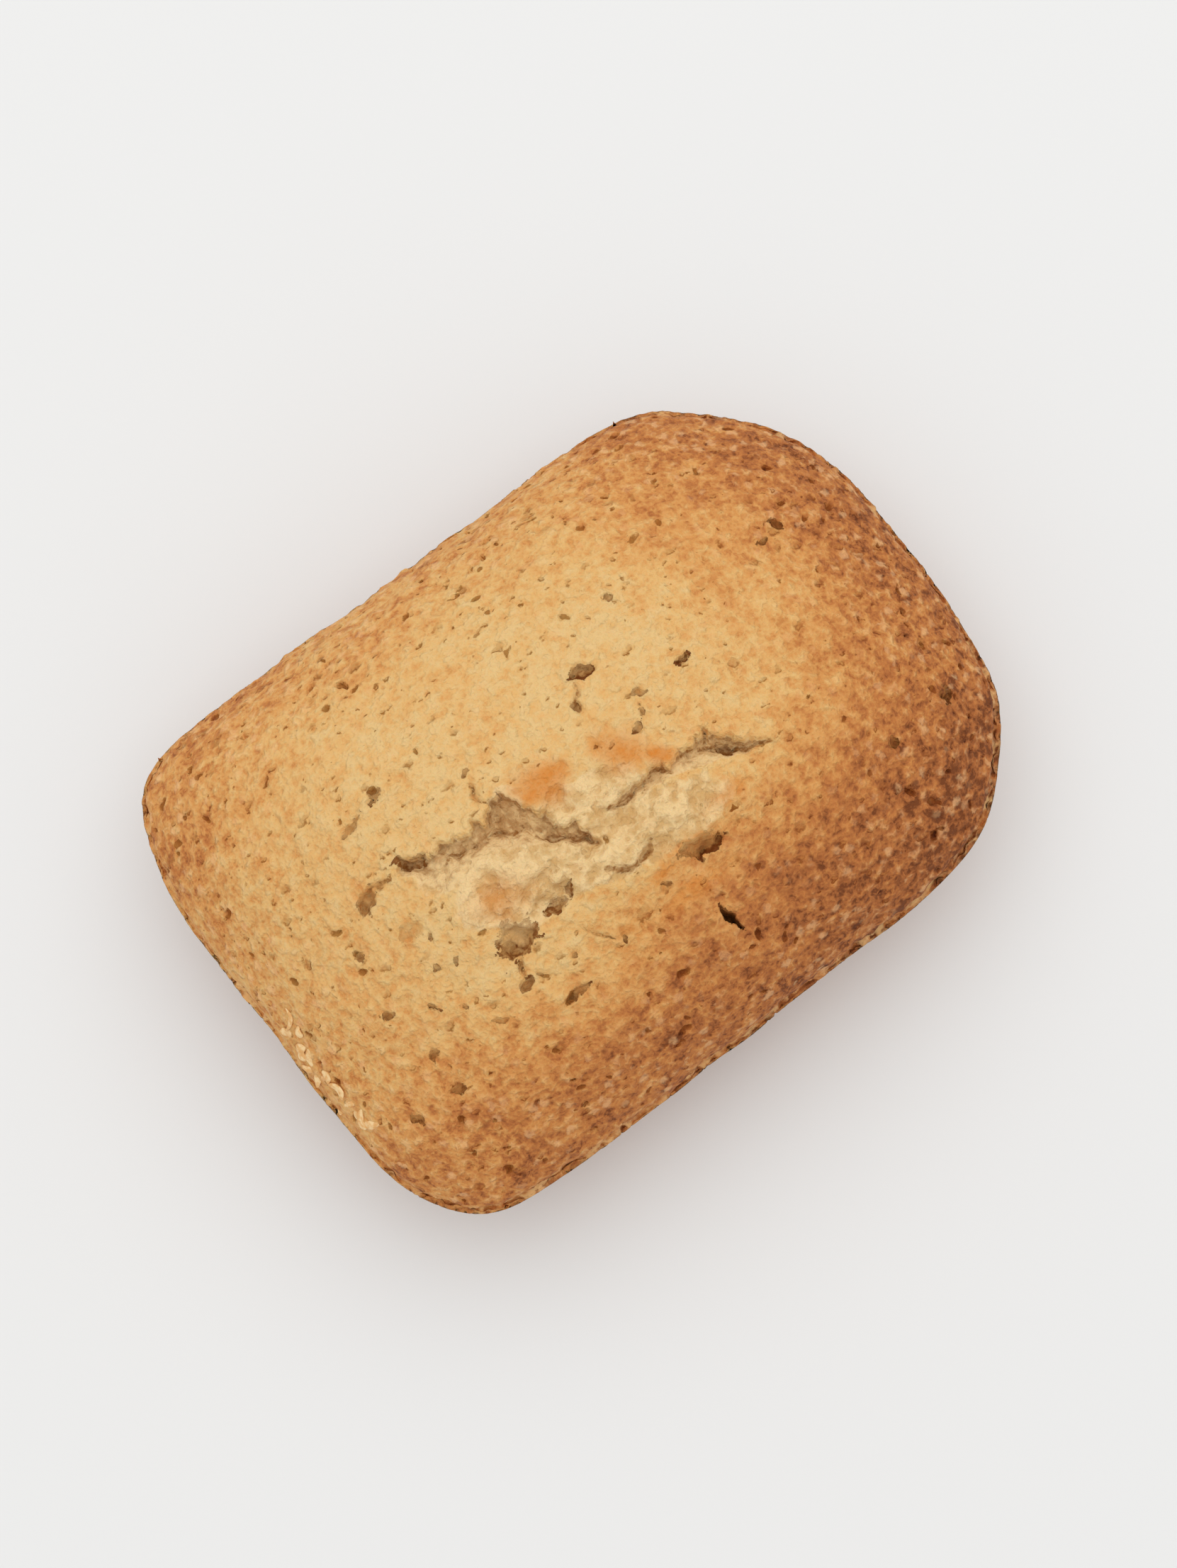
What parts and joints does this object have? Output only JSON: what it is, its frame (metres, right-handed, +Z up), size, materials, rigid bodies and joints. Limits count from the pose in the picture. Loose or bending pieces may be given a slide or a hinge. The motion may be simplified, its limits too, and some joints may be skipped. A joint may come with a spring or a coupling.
{
  "type": "madeleine cake",
  "caption": "Small baked cake lying on its ribbed shell side, with a golden, cracked bump on top and a narrow and a broad end.",
  "frame": {"origin": "under the middle of the cake, on the surface that it rests on", "axes": "+X along the cake towards its broad end, +Z up through the bump"},
  "size_m": [0.065, 0.0478, 0.0282],
  "materials": {
    "crust": "matt golden-brown baked crust, pale crumb in the crack"
  },
  "bodies": {
    "root": {"madeleine": "crust"}
  },
  "joints": []
}
